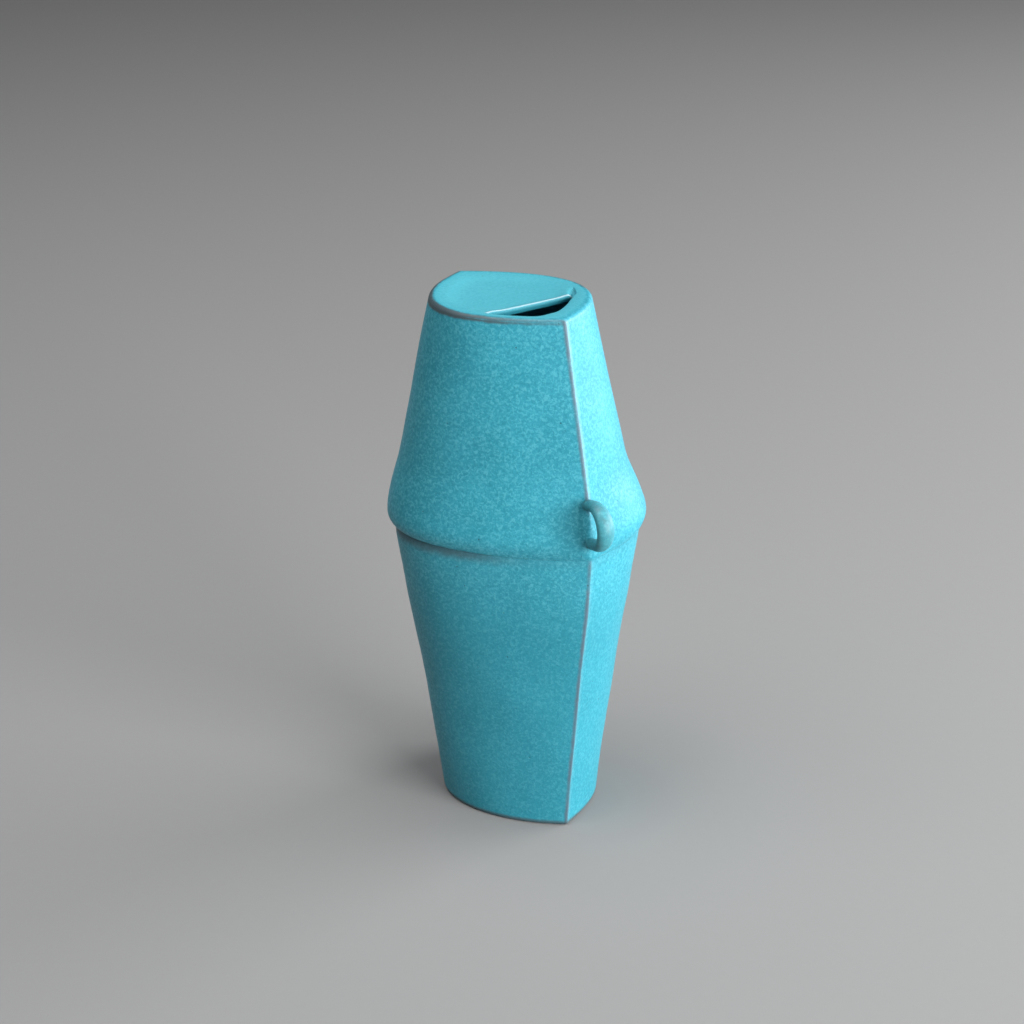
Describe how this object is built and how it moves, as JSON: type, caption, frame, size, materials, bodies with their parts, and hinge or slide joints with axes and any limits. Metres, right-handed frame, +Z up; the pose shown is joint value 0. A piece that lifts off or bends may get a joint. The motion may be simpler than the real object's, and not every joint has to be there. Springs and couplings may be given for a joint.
{
  "type": "ceramic bud vase",
  "caption": "Hand-built slab bud vase with a leaf-shaped section, a ridged waist, a small coil ring on the front seam and a corner mouth cut in its flat top.",
  "frame": {"origin": "middle of the foot, on the surface that the vase stands on", "axes": "+Z up; the broad front faces -Y; the front seam, the ring and the mouth's corner point to +X and -Y"},
  "size_m": [0.0708, 0.0597, 0.15],
  "materials": {
    "glazed_body": "satin turquoise stoneware glaze, finely mottled, breaking to pinkish grey clay on the edges",
    "glazed_top": "the same satin turquoise glaze, a little smoother and paler on the flat top",
    "glazed_ring": "the same satin turquoise glaze, thinner and greyer over the coil"
  },
  "bodies": {
    "root": {"foot_slab": "glazed_body", "lower_front_wall": "glazed_body", "lower_back_wall": "glazed_body", "upper_front_wall": "glazed_body", "upper_back_wall": "glazed_body", "top_plate": "glazed_top", "ring_handle": "glazed_ring"}
  },
  "joints": []
}
